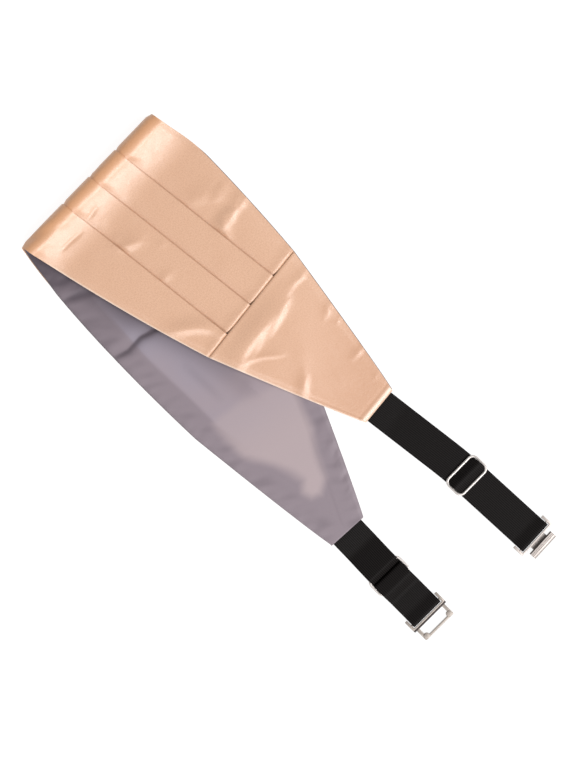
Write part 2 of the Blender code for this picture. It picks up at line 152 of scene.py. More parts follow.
def plan(s, w, depth=0.0):
    """x, y and z of the folded garment before its top half comes down to the table."""
    b = s * sin(HEADING) + w * cos(HEADING)
    x, z = roll(unrolled(s, w), depth)
    x = x - FOLD_SKEW * b * (1 - smooth(x / SKEW_FADE))
    return FOLD_X + x, b, z


def overhang(s, x, y):
    """0 over the lower half, 1 where the top half has come down to the table."""
    corner_x, corner_y, _ = plan(np.float64(0.0), CENTRE_HALF)
    far_x, far_y, _ = plan(np.float64(-HALF_LENGTH), END_HALF)
    side_x, side_y = far_x - corner_x, far_y - corner_y
    length = hypot(side_x, side_y)
    distance = (side_x * (y - corner_y) - side_y * (x - corner_x)) / length
    hanging = smooth((distance - OVERHANG_START) / OVERHANG_RUN)
    ending = smooth((s - END_DROP[0]) / (END_DROP[1] - END_DROP[0]))
    return 1 - (1 - hanging) * (1 - ending)


def pinch(x, y):
    """How far the fold's far corner is drawn in towards the middle, as a factor of 1."""
    near_fold = 1 - smooth((x - FOLD_X + 2 * MM) / PINCH_RUN)
    return near_fold ** 1.6 * smooth((y - PINCH_FROM) / PINCH_ACROSS) ** 1.5


def place(s, w, depth):
    """Points of the folded garment for arrays of s and w on the flat cut."""
    x, y, z = plan(s, w, depth)
    drawn = pinch(x, y)
    y = y - PINCH_IN * drawn
    z = z - (z - STACK) * PINCH_DOWN * drawn
    on_top = unrolled(s, w) > ROLL_END
    z = z - np.where(on_top, (TOP_HEIGHT - STACK) * overhang(s, x, y), 0.0)
    return np.stack([x, y, np.maximum(z, 0.0)], axis=-1)


# ------------------------------------------------------------------ creases, in millimetres

# A crease is height, half width, then the (s, w) points that it runs through. Positive
# heights are ridges. Two half widths are for the left and the right of its way. It fades
# out towards both its ends.
SATIN_CREASES = (
    (1.00, (2.4, 6.5), ((114.5, 56), (115.5, 50), (115.8, 45))),
    (1.20, (3.0, 7.0), ((114.0, 43), (115.5, 37.5), (116.2, 32.5))),
    (0.95, (4.2, 5.0), ((111.5, 33), (115.0, 29), (119.0, 26.5))),
    (0.45, (3.0, 1.6), ((113.5, 30.5), (119, 27), (123, 25))),
    (-0.30, 3.0, ((110, 47), (108, 36), (105, 27))),
    (0.80, (4.0, 7.0), ((93, 42), (92, 35), (88, 28))),
    (0.55, (3.0, 5.0), ((102, 45), (98, 36))),
    (0.95, (3.4, 6.0), ((77, -13), (74, -19), (70, -25))),
    (0.30, 3.0, ((66, -19), (64, -24))),
    (0.65, (2.2, 4.0), ((108, -18), (105.5, -24))),
    (0.30, 2.4, ((92, -4), (90, -8))),
    (1.50, (6.0, 3.0), ((131.5, -49), (136.5, -42.5), (141.5, -37.0), (147, -32.4),
                        (152, -29.6), (158, -28.6))),
    (2.00, (4.4, 10.0), ((178.0, 15), (178.6, 6), (178.2, -4), (177.6, -16), (177.8, -25),
                         (179.0, -33), (180.8, -39.5), (183, -43))),
    (0.55, (1.4, 2.6), ((181.2, 12), (183.2, 2), (184.8, -8))),
    (0.35, (1.0, 2.0), ((183.0, -14), (184.2, -22), (185.0, -30))),
    (0.60, (3.0, 1.2), ((183.4, -39), (184.4, -31.3), (189.5, -23.2), (199, -14.2))),
    (1.10, (2.4, 4.5), ((219.5, -14.5), (224, -21.3), (228.6, -28))),
    (0.60, (1.4, 4.0), ((176.2, 44), (177.3, 35), (175.5, 26))),
    (0.22, 1.5, ((178.5, 24), (180, 14))),
    (0.55, (1.2, 3.5), ((202.8, 35), (204.2, 30.5), (206.4, 25))),
    (0.45, (1.1, 3.0), ((238.4, 24.5), (237.8, 14.5))),
    (0.25, 1.1, ((213, 32), (214.4, 25))),
    (0.20, 1.2, ((256, 17), (257, 12))),
    (0.25, 3.4, ((37, 27), (45, 30), (50, 27))),
    (0.30, 2.6, ((44, -0.2), (52, 4))),
    (0.34, 3.0, ((42, -22), (50, -19), (56, -23))),
    (-0.80, (1.0, 1.5), ((43.4, -33), (41.5, -41.8), (40.2, -50))),
    (-0.70, (1.0, 1.5), ((41.3, -13.5), (41.5, -18.5), (41.8, -23.5))),
    (-1.40, (4.2, 2.6), ((25.5, -42), (21.5, -50), (19.0, -57), (18.5, -64))),
    (0.55, (2.2, 3.5), ((69, -25), (74, -21), (80, -12))),
    (0.40, (3.5, 3.0), ((98, 52), (99.5, 42))),
    (-0.40, (2.5, 1.2), ((22, 26.5), (24, 31))),
    (-0.35, (2.5, 1.2), ((24, 2.5), (25.5, 7))),
    (0.22, 5.0, ((60, -45), (70, -52))),
    (0.16, 7.0, ((118, -50), (128, -52))),
    (0.20, 5.0, ((206, -2), (216, -10))),
    (0.18, 6.0, ((232, 2), (246, -4))),
    (-0.16, 6.0, ((60, 44), (80, 48))),
    (0.16, 6.0, ((52, 8), (66, 12))),
    (0.18, 5.0, ((128, 10), (140, 8))),
    # the side that lies on the table, and the seam side there
    (-0.20, 3.0, ((-60, 50), (-78, 40))),
    (-0.22, 2.6, ((-110, -10), (-118, -22))),
    (-0.25, 2.4, ((-178, 20), (-184, 2), (-182, -16))),
    (-0.20, 2.0, ((-214, 18), (-222, 6))),
)

LINING_CREASES = (
    (-1.05, (6.0, 1.6), ((-88, -10), (-86.7, -24), (-85.1, -35.4), (-87.4, -46.9),
                          (-86.1, -59))),
    (-0.60, (3.6, 2.2), ((-35.2, -60), (-38, -51), (-41.5, -42))),
    (0.35, 3.5, ((-44, -58), (-49, -42))),
    (-0.50, 2.6, ((-21.7, -60), (-24.5, -45))),
    (0.30, 3.0, ((-29.7, -57), (-34, -45))),
    (-0.25, 4.0, ((-56, -58), (-62, -46))),
    (0.20, 3.0, ((-120, -22), (-150, -16))),
    (-0.22, 3.0, ((-196, 30), (-205, 22))),
    (0.34, 1.8, ((-214, 30), (-218, 24))),
    (-0.36, 1.8, ((-221, 28), (-225, 22))),
    (0.34, 1.8, ((-229, 26), (-232, 20))),
    (-0.34, 1.8, ((-238, 24), (-241, 18))),
    (0.22, 1.5, ((-247, 21), (-250, 15))),
    (-0.18, 2.2, ((-178, -40), (-190, -36))),
    (0.16, 2.2, ((-205, -34), (-216, -30))),
    (-0.16, 2.2, ((-232, -26), (-242, -22))),
)

# where the lining stays in shade: beside the top half's edge and in its own creases
LINING_SHADES = (
    (0.60, (10.0, 6.0), ((14, -64), (6.4, -61.8), (-15.3, -53.2), (-47.7, -40.5), (-82.5, -24.0),
                        (-116.6, -8.0), (-150, 3))),
    (0.66, (0.9, 4.2), ((-86.7, -20), (-85.8, -31.0), (-85.1, -35.4), (-87.4, -46.9),
                        (-86.8, -52.2), (-86.1, -57.5))),
    (0.45, (3.2, 2.2), ((-35.2, -60), (-38, -51), (-41.5, -42))),
    (0.35, (2.6, 2.6), ((-21.7, -60), (-24.5, -45))),
    (0.16, (3.0, 3.0), ((-120, -22), (-150, -16))),
)


def creased(s, w, creases):
    """Height in metres of the creases at arrays of s and w."""
    s, w = np.asarray(s, float) / MM, np.asarray(w, float) / MM
    total = np.zeros(np.broadcast(s, w).shape)
    for height, half, points in creases:
        points = np.array(points, float)
        runs = np.linalg.norm(np.diff(points, axis=0), axis=1)
        starts = np.concatenate([[0.0], np.cumsum(runs)])
        best = np.full(total.shape, 1e9)
        where, turned = np.zeros(total.shape), np.zeros(total.shape)
        for index, run in enumerate(runs):
            (s0, w0), (s1, w1) = points[index], points[index + 1]
            t = ((s - s0) * (s1 - s0) + (w - w0) * (w1 - w0)) / (run * run)
            t = np.clip(t, 0.0, 1.0)
            away = np.hypot(s - s0 - t * (s1 - s0), w - w0 - t * (w1 - w0))
            nearer = away < best
            best = np.where(nearer, away, best)
            where = np.where(nearer, (starts[index] + t * run) / starts[-1], where)
            hand = (s1 - s0) * (w - w0) - (w1 - w0) * (s - s0)
            turned = np.where(nearer, hand, turned)
        fade = 0.35 + 0.65 * np.sin(pi * np.clip(where, 0.02, 0.98)) ** 0.6
        left, right = half if isinstance(half, tuple) else (half, half)
        total += height * fade * bell(best / np.where(turned > 0, left, right))
    return total * MM


def swell(s, w, size, seed):
    """Slow waves of the cloth, from -1 to 1, for arrays of s and w."""
    flat_s, flat_w = np.broadcast_arrays(s, w)
    out = np.empty(flat_s.size)
    for index, (a, b) in enumerate(zip(flat_s.ravel(), flat_w.ravel())):
        out[index] = noise.noise(Vector((a / size, b / size, seed)))
    return out.reshape(flat_s.shape)


def seam_dip(s, w):
    """The satin dives into the cross seam and puffs up beside it, with small puckers."""
    before = SEAM_AT - np.abs(s)
    puckers = 0.5 + 0.5 * np.sin(2 * pi * w / (2.7 * MM) + 1.7 * np.sin(w / (5 * MM)))
    patches = 0.5 + 0.5 * np.sin(w / (4.6 * MM) + 2.0 * np.sin(w / (9 * MM)) + 0.6)
    pleated = before >= 0
    dip = np.where(pleated, 0.38 * bell(before / (0.5 * MM)), 0.24 * bell(before / (0.5 * MM)))
    puff = np.where(pleated, 0.60 * bell((before - 2.0 * MM) / ((2.2 + 1.8 * patches) * MM))
                    * (0.25 + 0.5 * patches + 0.25 * puckers),
                    0.10 * bell((before + 1.6 * MM) / (1.0 * MM)) * (0.5 + 0.5 * puckers))
    return (dip - puff) * MM


def end_ridge(s, w, lean):
    """The turned-in end of an end panel: a flat ridge, a dip behind it and a round end."""
    from_end = HALF_LENGTH + np.sign(s) * lean * w - np.abs(s)
    ridge = 0.36 * smooth((4.6 * MM - from_end) / (1.2 * MM))
    dip = -0.12 * bell((from_end - 5.4 * MM) / (1.0 * MM))
    rounding = -1.20 * np.clip(1 - from_end / (3.4 * MM), 0, 1) ** 1.15
    return (ridge + dip + rounding) * MM


def closing(s, w):
    """Depth by which the satin closes on the lining near the garment's long sides."""
    fade = 1 - smooth((np.abs(s) - CLOSING_ENDS[0]) / (CLOSING_ENDS[1] - CLOSING_ENDS[0]))
    from_side = half_width(s) - np.abs(w)
    rim = 0.34 * MM * bell((from_side - 1.2 * MM) / (0.7 * MM)) * smooth((s - 40 * MM) / (20 * MM))
    rim = np.where(w < 0, rim, 0.0)
    rounded = smooth(1 - from_side / EDGE_ROUND) ** 1.5
    return (0.25 + 0.75 * fade) * STEP * 0.85 * rounded - rim


# ------------------------------------------------------------------ shells from grids

LEANS = ((-HALF_LENGTH, EYE_END_LEAN), (-SEAM_AT, 0.0), (ROLL_START, tan(HEADING)),
         (LIE_END, tan(HEADING)), (SEAM_AT, 0.0), (HALF_LENGTH, HOOK_END_LEAN))


def satin_inset(s):
    """How far the satin stays inside the lining's line, on the half that lies lining up."""
    return 0.35 * MM * smooth((-s - 4 * MM) / (20 * MM))


def lining_inset(s):
    """How far the lining stays inside the satin's line, on the half that lies satin up."""
    return 0.7 * MM * smooth((s + 24 * MM) / (20 * MM))


def lean_at(s):
    """How far rows lean along s for each unit of w: square at the seams, else as LEANS."""
    return np.interp(s, [row[0] for row in LEANS], [row[1] for row in LEANS])


def side(s, lean, sign):
    """w where rows that lean along s meet the side of the flat cut."""
    w = sign * half_width(s)
    for _ in range(5):
        w = sign * half_width(s + lean * w)
    return w


def rows_between(start, stop, spacing):
    return np.linspace(start, stop, max(int(round((stop - start) / spacing)), 1) + 1)


def laid_grid(points):
    """A grid moved onto points[row, column], and the row and column of each vertex."""
    along, across = points.shape[0] - 1, points.shape[1] - 1
    bm = bmesh.new()
    bmesh.ops.create_grid(bm, x_segments=along, y_segments=across, size=0.5)
    bm.verts.index_update()
    cells = [(round((vert.co.x + 0.5) * along), round((vert.co.y + 0.5) * across))
             for vert in bm.verts]
    for vert, cell in zip(bm.verts, cells):
        vert.co = points[cell]
    for face in bm.faces:
        face.smooth = True
    return bm, cells


def close_tube(bm, reach):
    """Merges the sides of a grid that is wrapped round, and fills its two ends."""
    bmesh.ops.remove_doubles(bm, verts=bm.verts, dist=reach)
    bmesh.ops.holes_fill(bm, edges=[edge for edge in bm.edges if edge.is_boundary], sides=0)


def finished(name, bm):
    """A mesh of what a bmesh holds, which is freed."""
    mesh = bpy.data.meshes.new(name)
    bm.to_mesh(mesh)
    bm.free()
    return mesh


def add_object(name, data):
    made = bpy.data.objects.new(name, data)
    bpy.context.scene.collection.objects.link(made)
    return made


def grid_mesh(name, points, uv, glint=None, merge=0.0):
    """A mesh over points[row, column] with a UV map, and a glint for each point.

    With a merge distance the grid is one that is wrapped round to a closed strip.
    """
    bm, cells = laid_grid(points)
    layer = bm.loops.layers.uv.new("cut")
    for face in bm.faces:
        for loop in face.loops:
            loop[layer].uv = uv[cells[loop.vert.index]]
    if glint is not None:
        layer = bm.verts.layers.float.new("glint")
        for vert, cell in zip(bm.verts, cells):
            vert[layer] = glint[cell]
    if merge:
        close_tube(bm, merge)
        bmesh.ops.recalc_face_normals(bm, faces=bm.faces)
    return finished(name, bm)


def add_piece(name, mesh, material, body, node):
    piece = add_object(name, mesh)
    mesh.materials.append(material)
    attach(piece, body)
    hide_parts(node)
    return piece


def thicken(piece, thickness):
    wall = piece.modifiers.new("wall", "SOLIDIFY")
    wall.thickness = thickness
    wall.offset = -1.0
    wall.use_even_offset = True


def turn_radius(rows):
    """Radius of the folded edges on each row, smaller where they go round the fold."""
    middle = (ROLL_START + ROLL_END) / 2
    return TURN_RADIUS * (1 - 0.5 * bell((rows - middle) / (ROLL_END - ROLL_START)))


def turned_columns(rows, low, high, count, turn_low, turn_high):
    """Columns across a strip: w, extra depth, and distance across the cut, for each row.

    A turned side rolls under by TURN_RADIUS and runs back TURN_UNDER.
    """
    angles = np.linspace(0, pi, 6)[1:]
    backs = np.array((TURN_UNDER * 0.4, TURN_UNDER))
    r = turn_radius(rows)[:, None]
    start, stop = (low[:, None] + r * turn_low), (high[:, None] - r * turn_high)
    w = start + (stop - start) * np.linspace(0, 1, count)
    extra = np.zeros_like(w)
    deeper = np.concatenate([r * (1 - np.cos(angles)), 2 * r + 0 * backs], axis=1)
    if turn_high:
        w = np.concatenate([w, stop + r * np.sin(angles), stop - backs], axis=1)
        extra = np.concatenate([extra, deeper], axis=1)
    if turn_low:
        turned = np.concatenate([start - r * np.sin(angles), start + backs], axis=1)
        w = np.concatenate([turned[:, ::-1], w], axis=1)
        extra = np.concatenate([deeper[:, ::-1], extra], axis=1)
    across = np.concatenate([np.zeros((len(w), 1)), np.hypot(np.diff(w), np.diff(extra))], axis=1)
    return w, extra, np.cumsum(across, axis=1)


def shell(name, material, node, rows, low, high, count, turns, depth_at):
    """A satin shell over rows of s, with its depth from depth_at(s, w)."""
    lean = lean_at(rows)
    w, extra, across = turned_columns(rows, low, high, count, *turns)
    radius = turn_radius(rows)[:, None]
    face_w = np.clip(w, low[:, None] + radius * turns[0], high[:, None] - radius * turns[1])
    s = rows[:, None] + lean[:, None] * w
    face_s = rows[:, None] + lean[:, None] * face_w
    depth = depth_at(face_s, face_w) + extra
    points = place(s, w, depth)
    uv = np.stack([rows[:, None] + np.zeros_like(across), across], axis=-1) * CUT_SCALE
    glint = GLINT * np.clip(1 - (w - low[:, None]) / (radius + 0.3 * MM), 0, 1)
    glint *= smooth((s - 30 * MM) / (20 * MM)) * float(turns[0])
    mesh = grid_mesh(name, points, uv, glint)
    piece = add_piece(name, mesh, material, "garment", node)
    thicken(piece, SATIN_THICK)
    width = float(across[:, -1].max())
    length = float(rows[-1] - rows[0])
    area = float(np.trapz(across[:, -1], rows))
    return piece, width, length, area


PUFF_AT, PUFF_RUN = 38 * MM, 9 * MM     # where the satin is loose beside the fold


def satin_relief(s, w):
    """Height of the satin's creases and waves, with almost no waves under the fold."""
    waves = 0.10 * swell(s, w, 34 * MM, 3.0) + 0.05 * swell(s, w, 14 * MM, 8.0)
    along = unrolled(s, w)
    fold = bell((along - PUFF_AT) / PUFF_RUN) * (along > 0)
    waves = waves + fold * (0.34 * swell(s, w, 11 * MM, 2.0) + 0.12 * swell(s, w, 4 * MM, 6.0))
    flat = smooth((along - ROLL_START) / (20 * MM))
    return creased(s, w, SATIN_CREASES) * np.where(s > 0, 1.0, 0.8) + waves * MM * flat


def pleat_depth(index):
    first, last = index == 0, index == len(PLEAT_EDGES)

    def depth(s, w):
        tucked = 0.0
        if not last:
            covered = PLEAT_EDGES[index] + COVERED
            free = half_width(s) if first else PLEAT_EDGES[index - 1]
            sloping = free - TUCK - GAP
            pressed = PLEAT_EDGES[index] + JOGGLE
            along = unrolled(s, w)
            on_top = smooth((along - ROLL_END) / (30 * MM))
            rolled = bell((along - (ROLL_START + ROLL_END) / 2) / (ROLL_END - ROLL_START))
            start = pressed + (sloping - pressed) * on_top
            fall = np.clip((start - w) / (start - covered), 0.0, 1.0)
            tucked = STEP * (1 - 0.42 * rolled) * fall ** (1 + 1.6 * on_top)
            from_edge = (w - PLEAT_EDGES[index] - 0.3 * MM) / (1.1 * MM)
            tucked = tucked + 0.42 * MM * bell(np.maximum(from_edge, 0)) * (1 - rolled)
        if first:
            tucked = np.where(w > 0, np.maximum(tucked, closing(s, w)), tucked)
        if last:
            tucked = np.maximum(tucked, closing(s, w))
        showing = 1.0 if last else smooth((w - PLEAT_EDGES[index]) / (2.5 * MM))
        return tucked + seam_dip(s, w) - satin_relief(s, w) * showing

    return depth


def make_pleats(material):
    rows = rows_between(-SEAM_AT + SEAM_CLEAR, SEAM_AT - SEAM_CLEAR, FINE)
    lean = lean_at(rows)
    made = []
    for index in range(len(PLEAT_EDGES) + 1):
        first, last = index == 0, index == len(PLEAT_EDGES)
        high, low = side(rows, lean, 1) - satin_inset(rows), side(rows, lean, -1) + satin_inset(rows)
        if not first:
            high = np.full(len(rows), PLEAT_EDGES[index - 1])
        if not last:
            low = np.full(len(rows), PLEAT_EDGES[index] - TUCK)
        count = int(float((high - low).max()) / FINE)
        name = f"pleat_{index + 1}"
        made.append(shell(f"satin_{name}", material, name, rows, low, high, count,
                          (last, True), pleat_depth(index)))
    return made


def panel_depth(lean):
    def depth(s, w):
        return closing(s, w) + seam_dip(s, w) - end_ridge(s, w, lean) - satin_relief(s, w)
    return depth


def make_end_panels(material):
    made = []
    for which, sign, lean in (("hook", 1, HOOK_END_LEAN), ("eye", -1, EYE_END_LEAN)):
        rows = rows_between(SEAM_AT + SEAM_CLEAR, HALF_LENGTH, FINE)
        rows = rows if sign > 0 else -rows[::-1]
        low = side(rows, lean_at(rows), -1) + satin_inset(rows)
        high = side(rows, lean_at(rows), 1) - satin_inset(rows)
        count = int(2 * SEAM_HALF / FINE)
        name = f"end_panel_{which}"
        made.append(shell(f"satin_{name}", material, name, rows, low, high, count,
                          (True, True), panel_depth(lean)))
    return made


ALLOWANCE = 17 * MM         # the satin turned in under the lining along the sides


def lining_depth(s, w):
    """Depth of the lining's hidden face; the face that shows is LINING_THICK deeper."""
    relief = creased(s, w, LINING_CREASES) + 0.10 * MM * swell(s, w, 30 * MM, 5.0)
    from_side = half_width(s) - np.abs(w)
    hem = 0.18 * smooth((ALLOWANCE - from_side) / (2.5 * MM))
    puckers = 0.10 * np.sin(2 * pi * s / (9 * MM) + 2 * np.sin(s / (23 * MM)))
    puckers = puckers * smooth(1 - from_side / (9 * MM))
    edge = -0.75 * smooth(1 - from_side / (3.5 * MM)) ** 2
    limit = STACK - LINING_THICK
    return np.minimum(limit - 0.35 * MM + (hem + puckers + edge) * MM + relief, limit)


# the single layer of lining with the panel's pale inside behind it, as (s, w) corners
PALE_PATCH = ((-165, 27), (-181.9, 26.7), (-210, 18), (-233.6, 9.7), (-241.2, 0.9),
              (-239, -6), (-232.7, -8.5), (-226, -4), (-221, -6.6), (-206.5, -14.1),
              (-190.8, -26.6), (-174.2, -31), (-160, -31), (-158, -12), (-160, 8))


def inside(s, w, corners):
    """Signed distance in metres from a polygon's edge, positive inside it."""
    s, w = s / MM, w / MM
    nearest = np.full(s.shape, 1e9)
    within = np.zeros(s.shape, bool)
    for (s0, w0), (s1, w1) in zip(corners, corners[1:] + corners[:1]):
        t = ((s - s0) * (s1 - s0) + (w - w0) * (w1 - w0)) / ((s1 - s0) ** 2 + (w1 - w0) ** 2)
        t = np.clip(t, 0, 1)
        nearest = np.minimum(nearest, np.hypot(s - s0 - t * (s1 - s0), w - w0 - t * (w1 - w0)))
        crosses = ((w0 > w) != (w1 > w)) & (s < s0 + (w - w0) * (s1 - s0) / ((w1 - w0) or 1e-9))
        within ^= crosses
    return np.where(within, nearest, -nearest) * MM


def lining_tone(s, w):
    """0 where allowances lie behind the lining, 1 in the pale patch."""
    edge = inside(s, w, PALE_PATCH) + 2.2 * MM * swell(s, w, 16 * MM, 4.0)
    pale = smooth((edge + 3.5 * MM) / (9 * MM)) * (0.6 + 0.4 * smooth((-s - 160 * MM) / (40 * MM)))
    return np.clip(pale, 0, 1)


def single_layer(s, w):
    """1 where the lining lies alone between the turned-in allowances, 0 over them."""
    band = ALLOWANCE * (1 + 0.12 * swell(s, 0 * w, 40 * MM, 9.0))
    alone = smooth((half_width(s) - np.abs(w) - band + 1.5 * MM) / (3 * MM))
    return alone * smooth((s + 202 * MM) / (24 * MM))


def lining_shade(s, w):
    """How far the lining lies in shade: beside the top half, in its creases and puckers."""
    inner = 0.26 * smooth((s + 104 * MM) / (40 * MM)) + 0.6 * smooth((s + 34 * MM) / (36 * MM))
    hem = smooth((ALLOWANCE - half_width(s) + np.abs(w)) / (9 * MM))
    puckers = 0.32 * np.maximum(swell(3 * s + w, w, 17 * MM, 7.0) + 0.15, 0) * hem
    return np.clip(creased(s, w, LINING_SHADES) / MM + inner + puckers, 0.0, 0.95)


def make_lining(material):
    rows = np.concatenate([rows_between(-HALF_LENGTH + 0.1 * MM, 0, 0.8 * MM),
                           rows_between(0, HALF_LENGTH - 0.7 * MM, 2 * MM)[1:]])
    lean, inset = lean_at(rows), lining_inset(rows)
    peeking = 1.05 * MM * smooth((rows - 44 * MM) / (30 * MM))
    low, high = side(rows, lean, -1) + inset, side(rows, lean, 1) - inset + peeking
    shares = np.linspace(0, 1, 81)
    w = low[:, None] + (high - low)[:, None] * shares[None, :]
    s = rows[:, None] + lean[:, None] * w
    points = place(s, w, lining_depth(s, w))
    mesh = grid_mesh("lining_shell", points, np.stack([s, w], axis=-1) * CUT_SCALE)
    uv = np.zeros(2 * len(mesh.loops))
    mesh.uv_layers["cut"].data.foreach_get("uv", uv)
    spots = np.zeros((len(mesh.vertices), 2))
    for loop in mesh.loops:
        spots[loop.vertex_index] = uv[2 * loop.index:2 * loop.index + 2]
    s, w = spots.T / CUT_SCALE
    for name, tone in (("patch", lining_tone), ("single", single_layer), ("painted_shade", lining_shade)):
        values = mesh.attributes.new(name, "FLOAT", "POINT").data
        values.foreach_set("value", tone(s, w))
    piece = add_piece("lining_shell", mesh, material, "garment", "lining")
    thicken(piece, LINING_THICK)
    area = float(np.trapz(high - low, rows))
    return piece, float((high - low).max()), float(rows[-1] - rows[0]), area


# ------------------------------------------------------------------ materials

RIB_ON_CUT = 0.012          # width of an elastic rib on the UV map
WAVE_TURNS = 20             # radians of the wave texture in each unit at scale 1


def srgb(red, green, blue):
    """Linear colour from 0 to 255 display values."""
    def channel(value):
        value /= 255
        return value / 12.92 if value <= 0.04045 else ((value + 0.055) / 1.055) ** 2.4
    return channel(red), channel(green), channel(blue), 1.0


class Shader:
    """A material's node tree, with short calls for the nodes that are used here."""

    def __init__(self, name):
        self.material = bpy.data.materials.new(name)
        self.material.use_nodes = True
        self.tree = self.material.node_tree
        self.main = self.tree.nodes["Principled BSDF"]

    def set(self, **values):
        for key, value in values.items():
            self.main.inputs[key.replace("_", " ")].default_value = value

    def node(self, kind, inputs=None, **settings):
        made = self.tree.nodes.new(kind)
        for key, value in settings.items():
            setattr(made, key, value)
        for key, value in (inputs or {}).items():
            if isinstance(value, bpy.types.NodeSocket):
                self.tree.links.new(value, made.inputs[key])
            else:
                made.inputs[key].default_value = value
        return made

    def noise_node(self, inputs):
        return self.node("ShaderNodeTexNoise", inputs).outputs["Fac"]

    def link(self, socket, name):
        self.tree.links.new(socket, self.main.inputs[name])

    def cut(self):
        return self.node("ShaderNodeUVMap", uv_map="cut").outputs["UV"]

    def painted(self, name):
        return self.node("ShaderNodeAttribute", attribute_name=name).outputs["Fac"]

    def noise(self, cut, scale, detail, roughness=0.5):
        """Noise on the cut, with a scale along it and one across it."""
        scaled = self.node("ShaderNodeMapping", {"Vector": cut, "Scale": (*scale, 1)})
        return self.noise_node({"Vector": scaled.outputs[0], "Scale": 1.0,
                                "Detail": detail, "Roughness": roughness})

    def math(self, operation, first, second=0.0):
        return self.node("ShaderNodeMath", {0: first, 1: second}, operation=operation).outputs[0]

    def fade(self, value, start, stop, low, high):
        """low up to start and high from stop on, with a straight way between."""
        return self.node("ShaderNodeMapRange", {"Value": value, "From Min": start,
                                                "From Max": stop, "To Min": low,
                                                "To Max": high}).outputs[0]

    def bump(self, height, strength, distance, normal=None):
        inputs = {"Height": height, "Strength": strength, "Distance": distance}
        if normal:
            inputs["Normal"] = normal
        return self.node("ShaderNodeBump", inputs).outputs[0]

    def mix(self, factor, first, second):
        factor_at, first_at, second_at, result = 0, 6, 7, 2     # the colour node's sockets
        inputs = {factor_at: factor, first_at: first, second_at: second}
        return self.node("ShaderNodeMix", inputs, data_type="RGBA").outputs[result]

    def ramp(self, socket, stops):
        made = self.node("ShaderNodeValToRGB", {"Fac": socket})
        ramp = made.color_ramp
        while len(ramp.elements) < len(stops):
            ramp.elements.new(0.5)
        for element, (at, value) in zip(ramp.elements, stops):
            element.position = at
            element.color = (value, value, value, 1)
        return made.outputs["Color"]


def satin_material():
    shader = Shader("peach_satin")
    cut = shader.cut()
    slubs = shader.noise(cut, (160, 420), 3.0, 0.6)
    broad = shader.noise(cut, (3, 3), 2.0)
    mottled = shader.noise(cut, (95, 150), 1.5)
    brushed = shader.noise(cut, (105, 22), 3.0, 0.65)
    tint = shader.mix(shader.ramp(broad, ((0.35, 0), (0.7, 1))),
                      srgb(224, 179, 148), srgb(230, 188, 158))
    colour = shader.mix(shader.ramp(slubs, ((0.3, 0.0), (0.75, 1.0))), srgb(215, 170, 138), tint)
    colour = shader.mix(shader.ramp(mottled, ((0.36, 0.9), (0.62, 0.0))),
                        colour, srgb(207, 160, 129))
    # painted shade round the fold, golden, and painted shade that makes the end panels darker, then
    # a pale painted highlight where they are turned in, at distances from the garment's middle in
    # millimetres; last the glint of light on the turned lower edge
    along = shader.node("ShaderNodeSeparateXYZ", {"Vector": cut}).outputs["X"]
    along = shader.math("MULTIPLY", along, 1 / (CUT_SCALE * MM))
    from_fold = shader.math("ABSOLUTE", shader.math("SUBTRACT", along, 25))
    from_middle = shader.math("ABSOLUTE", along)
    for share, tone in ((shader.fade(from_fold, 5, 12, 0.6, 0.0), (224, 156, 98)),
                        (shader.fade(from_middle, 170, 240, 0.0, 0.5), (200, 150, 118)),
                        (shader.fade(from_middle, 266.6, 268.8, 0.0, 0.32), (252, 236, 220)),
                        (shader.painted("glint"), (255, 238, 222))):
        colour = shader.mix(share, colour, srgb(*tone))
    shader.link(colour, "Base Color")
    shader.link(shader.fade(brushed, 0.25, 0.75, 0.27, 0.46), "Roughness")
    fine = shader.bump(slubs, 0.35, 0.3 * MM)
    shader.link(shader.bump(brushed, 0.16, 0.3 * MM, fine), "Normal")
    shader.set(Specular_IOR_Level=0.92, IOR=1.6)
    return shader.material


def lining_material():
    shader = Shader("grey_lining")
    cut = shader.cut()
    threads = shader.noise(cut, (380, 380), 2.0)
    drift = shader.noise(cut, (1.6, 1.6), 1.0)
    colour = shader.mix(shader.ramp(drift, ((0.35, 0), (0.65, 1))),
                        srgb(153, 144, 156), srgb(158, 143, 149))
    colour = shader.mix(shader.painted("single"), srgb(138, 125, 132), colour)
    colour = shader.mix(shader.painted("patch"), colour, srgb(175, 158, 160))
    colour = shader.mix(shader.ramp(threads, ((0.3, 0.25), (0.7, 0.0))),
                        colour, srgb(122, 112, 122))
    # painted shade beside the top half and in the lining's creases and puckers
    colour = shader.mix(shader.painted("painted_shade"), colour, srgb(86, 76, 84))
    shader.link(colour, "Base Color")
    shader.link(shader.bump(threads, 0.15, 0.2 * MM), "Normal")
    shader.set(Roughness=0.52, Specular_IOR_Level=0.4, Sheen_Weight=0.2, Sheen_Roughness=0.5)
    return shader.material


def elastic_material():
    shader = Shader("black_elastic")
    cut = shader.cut()
    ribs = shader.node("ShaderNodeTexWave",
                       {"Vector": cut, "Scale": 2 * pi / (WAVE_TURNS * RIB_ON_CUT),
                        "Distortion": 0.0, "Phase Offset": pi / 2},
                       wave_type="BANDS", bands_direction="Y")
    threads = shader.noise(cut, (110, 700), 2.0)
    dark = srgb(8, 6, 6)
    colour = shader.mix(shader.ramp(ribs.outputs["Fac"], ((0.35, 0.0), (1.0, 1.0))),
                        dark, srgb(34, 29, 28))
    colour = shader.mix(shader.ramp(threads, ((0.35, 0.5), (0.7, 0.0))), colour, dark)
    shader.link(colour, "Base Color")
    shader.set(Roughness=0.62, Specular_IOR_Level=0.12)
    return shader.material


